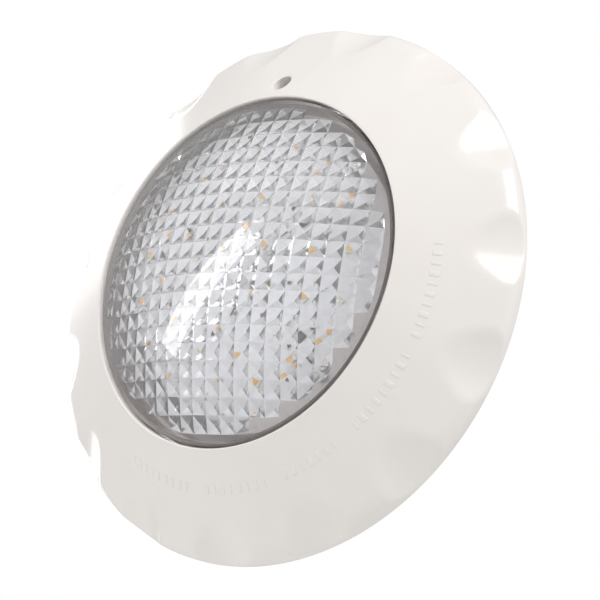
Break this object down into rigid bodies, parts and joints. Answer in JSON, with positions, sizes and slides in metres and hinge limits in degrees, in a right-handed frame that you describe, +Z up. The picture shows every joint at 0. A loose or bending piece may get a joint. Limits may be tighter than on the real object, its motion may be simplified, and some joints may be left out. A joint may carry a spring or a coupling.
{
  "type": "underwater pool light",
  "caption": "Round wall-hung underwater pool light: scalloped face ring round a domed prismatic lens, LED board in a sealed housing, hung on a wall bracket and locked by a top screw.",
  "frame": {"origin": "middle of the wall bracket's back face, in the plane of the pool wall", "axes": "+Z up the wall, +X to the right seen from the front, -Y out of the wall into the water, so +Y goes into the wall"},
  "size_m": [0.29, 0.063, 0.29],
  "materials": {
    "ring_white": "glossy warm white ABS",
    "housing_white": "satin off-white ABS",
    "bracket_white": "satin off-white ABS",
    "lens_clear": "clear polycarbonate with prisms inside",
    "seal_black": "matte",
    "gasket_grey": "matte silicone",
    "stainless": "bright stainless steel",
    "aluminium": "plain mill finish",
    "brass": "machined",
    "board_white": "white solder mask",
    "board_green": "green solder mask",
    "copper": "lacquered copper wire",
    "black_plastic": "matte",
    "red_plastic": "smooth wire sleeve",
    "nylon": "satin"
  },
  "bodies": {
    "wall_bracket": {"wall_plate": "bracket_white", "screw_insert": "brass"},
    "lamp_unit": {"face_ring": "ring_white", "screw_cup": "ring_white", "lens": "lens_clear", "lens_gasket": "gasket_grey", "clamp_ring": "stainless", "rear_housing": "housing_white", "clamp_screw_1": "stainless", "clamp_screw_2": "stainless", "clamp_screw_3": "stainless", "clamp_screw_4": "stainless", "clamp_screw_5": "stainless", "clamp_screw_6": "stainless", "clamp_screw_7": "stainless", "clamp_screw_8": "stainless", "ring_fixing_screw_1": "stainless", "ring_fixing_screw_2": "stainless", "ring_fixing_screw_3": "stainless", "ring_fixing_screw_4": "stainless", "led_board": "board_white", "heat_plate": "aluminium", "board_screw_1": "stainless", "board_screw_2": "stainless", "board_screw_3": "stainless", "board_screw_4": "stainless", "driver_board": "board_green", "driver_coil": "copper", "driver_capacitor_1": "black_plastic", "driver_capacitor_2": "black_plastic", "rectifier": "black_plastic", "terminal_block": "board_green", "lead_positive": "red_plastic", "lead_negative": "black_plastic", "gland_body": "nylon", "gland_o_ring": "seal_black", "gland_seal": "seal_black", "gland_nut": "nylon"},
    "screw_slide": {"ring_screw_washer": "nylon"},
    "screw_spin": {"ring_screw": "stainless"}
  },
  "joints": [
    {"name": "lamp_tilt", "type": "hinge", "parent": "wall_bracket", "child": "lamp_unit", "pos_m": [0, -0.01, -0.122], "axis": [1, 0, 0], "range_deg": [0, 12]},
    {"name": "screw_travel", "type": "slide", "parent": "lamp_unit", "child": "screw_slide", "axis": [0, -1, 0], "range_m": [0, 0.0085]},
    {"name": "screw_turn", "type": "hinge", "parent": "screw_slide", "child": "screw_spin", "pos_m": [0, -0.02, 0.1046], "axis": [0, -1, 0], "range_deg": [0, 3826]}
  ],
  "couplings": [
    {"joint": "screw_turn", "follows": "screw_travel", "rad_per_m": 7854}
  ]
}
